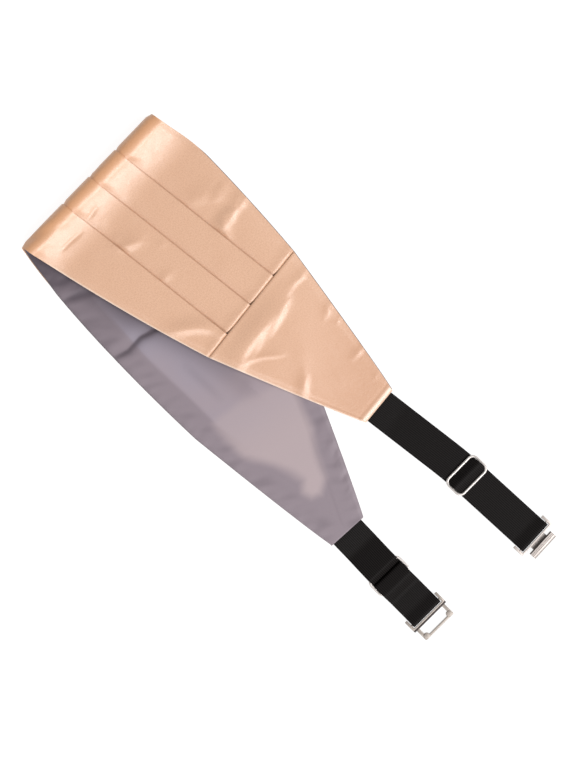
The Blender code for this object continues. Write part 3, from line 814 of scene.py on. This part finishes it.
def nickel_material(name, smoothest, roughest, low, high):
    """Satin nickel; the shade attribute darkens what lies in the metal's own shadow."""
    shader = Shader(name)
    spot = shader.node("ShaderNodeTexCoord").outputs["Object"]
    scuffs = shader.noise_node({"Vector": spot, "Scale": 900.0, "Detail": 3.0})
    colour = shader.mix(scuffs, srgb(*low), srgb(*high))
    shader.link(shader.mix(shader.painted("shade"), colour, srgb(44, 36, 34)), "Base Color")
    shader.link(shader.fade(scuffs, 0, 1, smoothest, roughest), "Roughness")
    shader.set(Metallic=0.62)
    return shader.material


# ------------------------------------------------------------------ straps

STRAP_WIDTH = 24.6 * MM
STRAP_THICK = 1.0 * MM
STRAP_INSIDE = 8 * MM       # length between satin and lining
STRAP_LEVEL = STACK / 2
WIRE = 0.75 * MM            # radius of the bars inside the elastic
SLIDER_LENGTH = 15.6 * MM
SLIDER_WIDTH = 27.7 * MM
RING_WIRE = 0.88 * MM       # radius of the sliders' outer ring
BEND_RUN = 12 * MM          # a strap bends in plan this far to both sides of a spot,
BEND_BACK = 8 * MM          # which is this far before its slider
SLANT_RUN = (12 * MM, 30 * MM)      # square to the slider within the first distance
NOSE_DOWN = radians(4.5)    # the hook and the eye lean to the table
WRAP = WIRE + GAP + STRAP_THICK / 2         # radius of the elastic round a bar,
OVER_WRAP = WRAP + STRAP_THICK + GAP        # and of a second turn over the first
LOW = STRAP_THICK / 2                       # height of elastic on the table,
HIGH = LOW + STRAP_THICK + GAP              # and of elastic on elastic
RIB_COUNT = 19
RIB_HEIGHT = 0.24 * MM
RIB_COLUMNS = 4
TURN_STEP = radians(12)     # steps of the strap's path
RUN_STEP = 2.2 * MM

STRAPS = {
    "hook": {
        "start": (FOLD_X + 243.3 * MM, 36.5 * MM), "slider": 74.0 * MM, "end": 136.2 * MM,
        "heading": radians(8.6), "turned": radians(3.9), "slider_heading": radians(1.7),
    },
    "eye": {
        "start": (FOLD_X + 288.9 * MM, -36.5 * MM), "slider": 40.4 * MM, "end": 76.8 * MM,
        "heading": radians(-0.2), "turned": radians(1.1), "slider_heading": radians(0.5),
    },
}


def belt(pulleys):
    """A path over pulleys of (x, z, radius), with turns and straight runs cut into steps.

    A radius above 0 turns one way, below 0 the other way, and 0 is a plain corner.
    """
    ways = []
    for (x0, z0, r0), (x1, z1, r1) in zip(pulleys, pulleys[1:]):
        span = hypot(x1 - x0, z1 - z0)
        ways.append(atan2(z1 - z0, x1 - x0) - asin((r1 - r0) / span))
    points = []
    for index, (x, z, radius) in enumerate(pulleys):
        arrive, leave = ways[max(index - 1, 0)], ways[min(index, len(ways) - 1)]
        turns = [arrive]
        if radius:
            turn = (leave - arrive) % (2 * pi) - (2 * pi if radius < 0 else 0)
            turns = np.linspace(arrive, arrive + turn, max(int(abs(turn) / TURN_STEP), 1) + 1)
        arc = [(x + radius * sin(way), z - radius * cos(way)) for way in turns]
        if points:
            (x0, z0), (x1, z1) = points[-1], arc[0]
            count = int(hypot(x1 - x0, z1 - z0) / RUN_STEP)
            for share in np.linspace(0, 1, count + 2)[1:-1]:
                points.append((x0 + (x1 - x0) * share, z0 + (z1 - z0) * share))
        points += arc
    return points


def strap_plan(strap, distance):
    """x, y and heading of a strap's middle line at a distance from the end panel."""
    bend_from = strap["slider"] - BEND_BACK - BEND_RUN
    first, turned = strap["heading"], strap["turned"]
    x, y = strap["start"]
    straight = min(distance, bend_from)
    bent = min(max(distance - bend_from, 0.0), 2 * BEND_RUN)
    heading = first + (turned - first) * bent / (2 * BEND_RUN)
    rest = max(distance - bend_from - 2 * BEND_RUN, 0.0)
    x += cos(first) * straight + cos((first + heading) / 2) * bent + cos(turned) * rest
    y += sin(first) * straight + sin((first + heading) / 2) * bent + sin(turned) * rest
    return x, y, heading


def strap_point(which, distance, w, height):
    """A point of a strap, which turns square to its slider where it passes it."""
    strap = STRAPS[which]
    lean = tan(strap_plan(strap, strap["slider"])[2] - strap["slider_heading"])
    near, clear = SLANT_RUN
    away = (abs(distance - strap["slider"]) - near) / (clear - near)
    x, y, heading = strap_plan(strap, distance + w * lean * (1 - float(smooth(away))))
    return x - sin(heading) * w, y + cos(heading) * w, height


def slider_bars(which):
    """Distance and height of a slider's near, middle and far bar."""
    middle = STRAPS[which]["slider"]
    reach = SLIDER_LENGTH / 2 - WIRE
    first, last = LOW + OVER_WRAP, LOW + OVER_WRAP
    if which == "hook":
        first, last = LOW + WRAP, HIGH + WRAP
    return (middle - reach, first), (middle, (first + last) / 2), (middle + reach, last)


def loop_bar(which):
    """Distance and height of the bar that a strap's end loop goes round."""
    return STRAPS[which]["end"] - WRAP - STRAP_THICK / 2, LOW + WRAP


def strap_path(which):
    """The strap's way from inside the garment to its end at the slider's middle bar."""
    bar_1, centre, bar_2 = slider_bars(which)
    loop = loop_bar(which)
    exit_run, loop_run, return_run = 14 * MM, 7 * MM, 5 * MM
    start = [(-STRAP_INSIDE, STRAP_LEVEL, 0), (1 * MM, STRAP_LEVEL, 0), (exit_run, LOW, 0)]
    reach = WRAP * 1.001
    past = radians(20)
    if which == "hook":
        return start + [
            (*bar_1, WRAP), (*centre, -OVER_WRAP), (*bar_2, WRAP),
            (loop[0] - loop_run, HIGH, 0), (*loop, -WRAP),
            (centre[0] + return_run, LOW, 0), (*centre, -WRAP),
            (centre[0] + reach * sin(past), centre[1] + reach * cos(past), 0),
        ]
    return start + [
        (*bar_1, -WRAP), (*centre, OVER_WRAP), (*bar_2, -WRAP),
        (bar_2[0] + loop_run, LOW, 0), (*loop, WRAP),
        (loop[0] - loop_run, HIGH, 0), (bar_2[0] + loop_run + GAP, HIGH, 0),
        (*bar_2, OVER_WRAP), (*centre, WRAP),
        (centre[0] + reach * sin(past), centre[1] - reach * cos(past), 0),
    ]


def make_strap(which, material):
    """A ribbed elastic strap along its whole way: both faces and both edges in one loop."""
    path = np.array(belt(strap_path(which)))
    ahead = np.gradient(path, axis=0)
    ahead /= np.linalg.norm(ahead, axis=1)[:, None]
    normal = np.stack([-ahead[:, 1], ahead[:, 0]], axis=1)
    travelled = np.concatenate([[0], np.cumsum(np.linalg.norm(np.diff(path, axis=0), axis=1))])
    shares = np.linspace(-0.5, 0.5, RIB_COUNT * RIB_COLUMNS + 1)
    ribs = RIB_HEIGHT * np.abs(np.cos(pi * RIB_COUNT * (shares + 0.5))) ** 0.8
    half = STRAP_THICK / 2 - RIB_HEIGHT + ribs
    half[0] = half[-1] = STRAP_THICK * 0.25
    across = np.concatenate([shares, shares[::-1], shares[:1]])
    lift = np.concatenate([half, -half[::-1], half[:1]])
    points = np.zeros((len(path), len(across), 3))
    uv = np.zeros((len(path), len(across), 2))
    for row, ((distance, height), (nx, nz)) in enumerate(zip(path, normal)):
        for column, (share, up) in enumerate(zip(across, lift)):
            points[row, column] = strap_point(which, distance + nx * up, share * STRAP_WIDTH,
                                              height + nz * up)
            uv[row, column] = travelled[row] * CUT_SCALE, column * RIB_ON_CUT / RIB_COLUMNS
    mesh = grid_mesh(f"elastic_{which}", points, uv, merge=0.002 * MM)
    return add_piece(f"elastic_{which}", mesh, material, "garment", f"strap_{which}")


# ------------------------------------------------------------------ metal

SLIDER_CORNER = 4.5 * MM    # outer radius of a slider's corners
PLATE = 1.2 * MM            # thickness of the hook's and the eye's sheet metal
BRACKET_HALF = 14.7 * MM
BRACKET_ARM = 1.9 * MM
BRACKET_BACK = -4.8 * MM    # x from the loop bar's axis, +x towards the metal's free end
BRACKET_BAR = (2.4 * MM, 3.5 * MM)      # back and front of the bar between its arms
NECK_HALF = 6.5 * MM
LIP_HALF = 10.2 * MM
LIP_BACK = 6.1 * MM
LIP_BEND_AT = 8.9 * MM
LIP_BEND_RADIUS = 1.5 * MM
EYE_HALF = 12.9 * MM
EYE_FRONT = 13.9 * MM
EYE_WINDOW = (4.9 * MM, 12.0 * MM)
EYE_WINDOW_HALF = 10.6 * MM
BOSS_RADIUS = 2.1 * MM
FACE_EDGE = 0.22 * MM       # the stamped plates' rounded edges
BAR_EDGE = 0.08 * MM
INLAY = 0.1 * MM            # how far small shapes start inside what they sit on
GROOVES = (0.25, 0.62)      # the lip's grooves, as shares of the way to its back edge
GROOVE_HALF, GROOVE_DEPTH = 0.30 * MM, 0.20 * MM
NECK_RIBS, NECK_RIB_WIRE = 11, 0.34 * MM
NECK_END = 7.0 * MM
FLAT_FROM = 0.9 * MM * MM   # plate faces larger than this are shaded flat


def tube(path, radius, closed=False, ring=14):
    """A round wire along a path of points: a grid wrapped round it and merged."""
    path = np.array(path, float)
    if closed:
        path = np.vstack([path, path[:1]])
    ahead = np.roll(path, -1, axis=0) - np.roll(path, 1, axis=0)
    if closed:
        ahead[0] = ahead[-1] = path[1] - path[-2]
    else:
        ahead[0], ahead[-1] = path[1] - path[0], path[-1] - path[-2]
    ahead /= np.linalg.norm(ahead, axis=1)[:, None]
    out = np.cross(ahead, (0.0, 0.0, 1.0))
    out /= np.linalg.norm(out, axis=1)[:, None]
    lift = np.cross(out, ahead)
    radius = np.broadcast_to(radius, len(path))
    turns = np.linspace(0, 2 * pi, ring + 1)
    points = (path[:, None] + radius[:, None, None] * (out[:, None] * np.cos(turns)[None, :, None]
              + lift[:, None] * np.sin(turns)[None, :, None]))
    bm, _ = laid_grid(points)
    close_tube(bm, 0.004 * MM)
    for face in bm.faces:
        face.smooth = True
    return bm


def stamped(outline, low, high, holes=(), edge=FACE_EDGE):
    """A plate with rounded edges from a flat outline, its holes and its two levels."""
    bm = bmesh.new()
    edges = []
    for loop in (outline, *holes):
        verts = [bm.verts.new((x, y, low)) for x, y in loop]
        edges += [bm.edges.new(pair) for pair in zip(verts, verts[1:] + verts[:1])]
    bmesh.ops.triangle_fill(bm, use_beauty=True, edges=edges)
    draw_out(bm, (0, 0, high - low))
    return finish_plate(bm, edge)


def draw_out(bm, way):
    """A solid from the faces there are, drawn out along a vector."""
    grown = bmesh.ops.extrude_face_region(bm, geom=bm.faces[:])["geom"]
    bmesh.ops.translate(bm, vec=way,
                        verts=[item for item in grown if isinstance(item, bmesh.types.BMVert)])


def finish_plate(bm, edge, least=25):
    """Rounds the corners of more than the least degrees, and shades the large faces flat."""
    bmesh.ops.recalc_face_normals(bm, faces=bm.faces)
    bmesh.ops.dissolve_limit(bm, angle_limit=radians(1), verts=bm.verts, edges=bm.edges)
    corners = [item for item in bm.edges
               if len(item.link_faces) == 2 and item.calc_face_angle() > radians(least)]
    bmesh.ops.bevel(bm, geom=corners, offset=edge, offset_type="OFFSET", segments=3,
                    profile=0.5, affect="EDGES", material=-1)
    for face in bm.faces:
        face.smooth = face.calc_area() < FLAT_FROM
    return bm


def metal_piece(name, body, shapes, matrix, material):
    """One piece of several closed shapes, seated with a matrix in the frame.

    A shape may come with a function of its x that gives the shade of its points.
    """
    whole = bmesh.new()
    shades = []
    for shape in shapes:
        shape, shade = shape if isinstance(shape, tuple) else (shape, None)
        shades += [shade(vert.co.x) if shade else 0.0 for vert in shape.verts]
        bmesh.ops.recalc_face_normals(shape, faces=shape.faces)
        part = finished("part", shape)
        whole.from_mesh(part)
        bpy.data.meshes.remove(part)
    bmesh.ops.transform(whole, matrix=matrix, verts=whole.verts)
    mesh = finished(name, whole)
    mesh.attributes.new("shade", "FLOAT", "POINT").data.foreach_set("value", shades)
    mesh.set_sharp_from_angle(angle=radians(32))
    return add_piece(f"{name}_metal", mesh, material, body, name)


def rounded_loop(half_x, half_y, corner, count=8):
    """Points of a rectangle with round corners, once round."""
    points = []
    for index, (sign_x, sign_y) in enumerate(((1, 1), (-1, 1), (-1, -1), (1, -1))):
        for angle in np.linspace(index * pi / 2, (index + 1) * pi / 2, count):
            points.append((sign_x * (half_x - corner) + corner * cos(angle),
                           sign_y * (half_y - corner) + corner * sin(angle), 0.0))
    return points


def make_slider(which, material):
    bar_1, centre, bar_2 = slider_bars(which)
    half_x, half_y = SLIDER_LENGTH / 2 - WIRE, SLIDER_WIDTH / 2 - WIRE
    ring = tube(rounded_loop(half_x, half_y, SLIDER_CORNER - WIRE), RING_WIRE, closed=True)
    ends = np.linspace(-half_y, half_y, 25)
    flare = WIRE * (0.94 + 0.35 * np.exp(-((half_y - np.abs(ends)) / (0.7 * MM)) ** 2))
    bar = tube([(0.0, y, 0.0) for y in ends], flare)
    x, y, _ = strap_plan(STRAPS[which], centre[0])
    tilt = atan2(bar_2[1] - bar_1[1], bar_2[0] - bar_1[0])
    matrix = (Matrix.Translation((x, y, centre[1]))
              @ Matrix.Rotation(STRAPS[which]["slider_heading"], 4, "Z")
              @ Matrix.Rotation(-tilt, 4, "Y"))
    metal_piece(f"slider_{which}", "garment", [ring, bar], matrix, material)


def bracket_outline(front):
    """Half outline points of the bracket round a strap's end, then mirrored."""
    inner, chamfer = BRACKET_HALF - BRACKET_ARM, 0.4 * MM
    half = [(BRACKET_BAR[0], inner), (BRACKET_BACK, inner), (BRACKET_BACK, BRACKET_HALF),
            (BRACKET_BAR[1] - chamfer, BRACKET_HALF), (BRACKET_BAR[1], BRACKET_HALF - chamfer)]
    half += front
    return half + [(x, -y) for x, y in reversed(half)]


def seat(which):
    """Where the hook or the eye sits: its loop bar in the strap's end loop, nose down."""
    distance, height = loop_bar(which)
    x, y, heading = strap_plan(STRAPS[which], distance)
    return (Matrix.Translation((x, y, height)) @ Matrix.Rotation(heading, 4, "Z")
            @ Matrix.Rotation(NOSE_DOWN, 4, "Y"))


def loop_rod():
    reach = BRACKET_HALF - BRACKET_ARM / 2
    return tube([(0.0, y, 0.0) for y in np.linspace(-reach, reach, 13)], WIRE)


def profile_bar(profile, half):
    """A bar across the metal: an outline in x and z, drawn out to both sides."""
    bm = bmesh.new()
    bm.faces.new([bm.verts.new((x, -half, z)) for x, z in profile])
    draw_out(bm, (0, 2 * half, 0))
    return finish_plate(bm, BAR_EDGE, 40)


def make_hook(material):
    """The bracket with its neck, and the lip bent up and back over it."""
    half_plate = PLATE / 2
    outline = bracket_outline([(BRACKET_BAR[1], NECK_HALF), (LIP_BACK + 1 * MM, NECK_HALF)])
    shapes = [stamped(outline, -half_plate, half_plate), loop_rod()]
    outer, inner = LIP_BEND_RADIUS + half_plate, LIP_BEND_RADIUS - half_plate
    turns = np.linspace(-pi / 2, pi / 2, 13)
    profile = [(LIP_BACK, -half_plate)]
    profile += [(LIP_BEND_AT + outer * cos(turn), LIP_BEND_RADIUS + outer * sin(turn))
                for turn in turns]
    top = LIP_BEND_RADIUS + outer
    for groove in GROOVES:
        at = LIP_BEND_AT - (LIP_BEND_AT - LIP_BACK) * groove
        profile += [(at + GROOVE_HALF, top), (at, top - GROOVE_DEPTH), (at - GROOVE_HALF, top)]
    profile += [(LIP_BACK, top), (LIP_BACK, LIP_BEND_RADIUS + inner)]
    profile += [(LIP_BEND_AT + inner * cos(turn), LIP_BEND_RADIUS + inner * sin(turn))
                for turn in turns[::-1]]
    profile += [(LIP_BACK, half_plate)]
    front = LIP_BEND_AT + outer
    # the lip's front is in painted shade, and a strip along its back edge is painted dark as the
    # shadow under the lip
    shapes.append((profile_bar(profile, LIP_HALF),
                   lambda x: 0.7 * smooth((x - front + 0.5 * MM) / (0.4 * MM))))
    back = [(LIP_BACK - 0.5 * MM, top - 1.1 * MM), (LIP_BACK + 0.15 * MM, top - 1.15 * MM),
            (LIP_BACK + 0.15 * MM, top - 0.1 * MM), (LIP_BACK - 0.4 * MM, top - 0.2 * MM)]
    shapes.append((profile_bar(back, LIP_HALF - INLAY / 2), lambda x: 1.0))
    neck = [(BRACKET_BAR[1] - INLAY, NECK_HALF - INLAY), (NECK_END, NECK_HALF - INLAY)]
    neck += [(x, -y) for x, y in reversed(neck)]
    shapes.append(stamped(neck, 0, half_plate + 0.03 * MM, edge=0.02 * MM))
    for y in np.linspace(-NECK_HALF + 0.9 * MM, NECK_HALF - 0.9 * MM, NECK_RIBS):
        rib = [(x, y, half_plate - NECK_RIB_WIRE + INLAY)
               for x in np.linspace(BRACKET_BAR[1] + INLAY, NECK_END - INLAY, 5)]
        shapes.append(tube(rib, NECK_RIB_WIRE, ring=10))
    metal_piece("hook", "hook", shapes, seat("hook"), material)


def make_eye(material):
    """The bracket, and in front of it the frame of the window with its round bosses."""
    half_plate = PLATE / 2
    near, far = EYE_WINDOW
    shapes = [stamped(bracket_outline([]), -half_plate, half_plate), loop_rod()]
    chamfer = 0.3 * MM
    frame_back, frame_top = 3.2 * MM, half_plate - 0.35 * MM
    outer = [(frame_back, EYE_HALF), (EYE_FRONT - chamfer, EYE_HALF),
             (EYE_FRONT, EYE_HALF - chamfer)]
    outer += [(x, -y) for x, y in reversed(outer)]
    window = rounded_window(near, far, EYE_WINDOW_HALF, 0.6 * MM)
    shapes.append(stamped(outer, -half_plate, frame_top, [window]))
    # the step down from the bracket to the frame lies in shade
    back, front = BRACKET_BAR[1] - INLAY, near - INLAY
    flange = [(back, INLAY - half_plate), (front, INLAY - half_plate),
              (front, half_plate - 0.28 * MM), (back, half_plate - 0.12 * MM)]
    shapes.append((profile_bar(flange, BRACKET_HALF - INLAY), lambda x: 1.0))
    for sign in (-1, 1):
        bm = bmesh.new()
        spot = Matrix.Translation((far - 0.2 * MM, sign * (EYE_WINDOW_HALF - 0.2 * MM), 0))
        bmesh.ops.create_cone(bm, cap_ends=True, segments=28, radius1=BOSS_RADIUS,
                              radius2=BOSS_RADIUS, depth=PLATE * 1.35, matrix=spot)
        shapes.append(finish_plate(bm, 0.2 * MM))
    metal_piece("eye", "eye", shapes, seat("eye"), material)


def rounded_window(near, far, half, corner):
    """Outline of a window from near to far along x, and as far as half to both sides."""
    middle = (near + far) / 2
    loop = rounded_loop((far - near) / 2, half, corner, count=4)
    return [(middle + x, y) for x, y, _ in loop]


# ------------------------------------------------------------------ the floor, light, camera

CAMERA_HEIGHT = 1.209
CAMERA_AT = (-3.2 * MM, 3.0 * MM)
CAMERA_TURN = radians(46.3)
LENS = 85
FLOOR_HALF = 30.0
LIGHT_DISTANCE = 4.0


def make_floor():
    """A wide floor that shines as white as the photo's ground."""
    bm = bmesh.new()
    bmesh.ops.create_grid(bm, x_segments=8, y_segments=8, size=FLOOR_HALF)
    floor = add_object("floor", finished("floor", bm))
    floor.location.z = -0.2 * MM
    shader = Shader("white_floor")
    shader.set(Roughness=0.9, Specular_IOR_Level=0.1, Base_Color=(0.2, 0.2, 0.2, 1),
               Emission_Color=(1, 1, 1, 1), Emission_Strength=0.9)
    floor.data.materials.append(shader.material)


def make_camera():
    data = bpy.data.cameras.new("camera")
    data.lens = LENS
    data.sensor_width = 36
    camera = add_object("camera", data)
    camera.location = (*CAMERA_AT, CAMERA_HEIGHT)
    camera.rotation_euler = (0, 0, CAMERA_TURN)
    bpy.context.scene.camera = camera


def add_light(name, azimuth, elevation, size, power):
    """An area light that looks at the garment from angles in the part's frame."""
    data = bpy.data.lights.new(name, "AREA")
    data.shape = "RECTANGLE"
    data.size, data.size_y = size
    data.energy = power
    lamp = add_object(name, data)
    lamp.location = Vector((cos(azimuth) * cos(elevation), sin(azimuth) * cos(elevation),
                            sin(elevation))) * LIGHT_DISTANCE
    lamp.rotation_euler = lamp.location.to_track_quat("Z", "Y").to_euler()


def make_light():
    world = bpy.data.worlds.new("studio")
    world.use_nodes = True
    background = world.node_tree.nodes["Background"].inputs
    background["Color"].default_value = (1, 1, 1, 1)
    background["Strength"].default_value = 0.38
    bpy.context.scene.world = world
    add_light("key", radians(12), radians(49), (1.6, 1.1), 88)
    add_light("left", radians(50), radians(47), (1.4, 1.1), 46)
    add_light("right", radians(-44), radians(48), (1.4, 1.1), 48)


# ------------------------------------------------------------------ the whole

bpy.context.scene.view_settings.view_transform = "Standard"
make_camera()
satin = satin_material()
lining = lining_material()
elastic = elastic_material()
# one nickel in three copies: the wires' colour is painted lighter and the eye's darker than the
# hook's, as painted light and painted shade
wire_nickel = nickel_material("wire_nickel", 0.36, 0.43, (214, 206, 201), (232, 226, 222))
hook_nickel = nickel_material("hook_nickel", 0.42, 0.50, (170, 161, 156), (188, 179, 174))
eye_nickel = nickel_material("eye_nickel", 0.42, 0.50, (144, 135, 128), (160, 151, 144))

for piece, width, length, area in make_pleats(satin) + make_end_panels(satin):
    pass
piece, width, length, area = make_lining(lining)
for end in STRAPS:
    make_strap(end, elastic)
    make_slider(end, wire_nickel)
make_hook(hook_nickel)
make_eye(eye_nickel)

make_floor()
make_light()
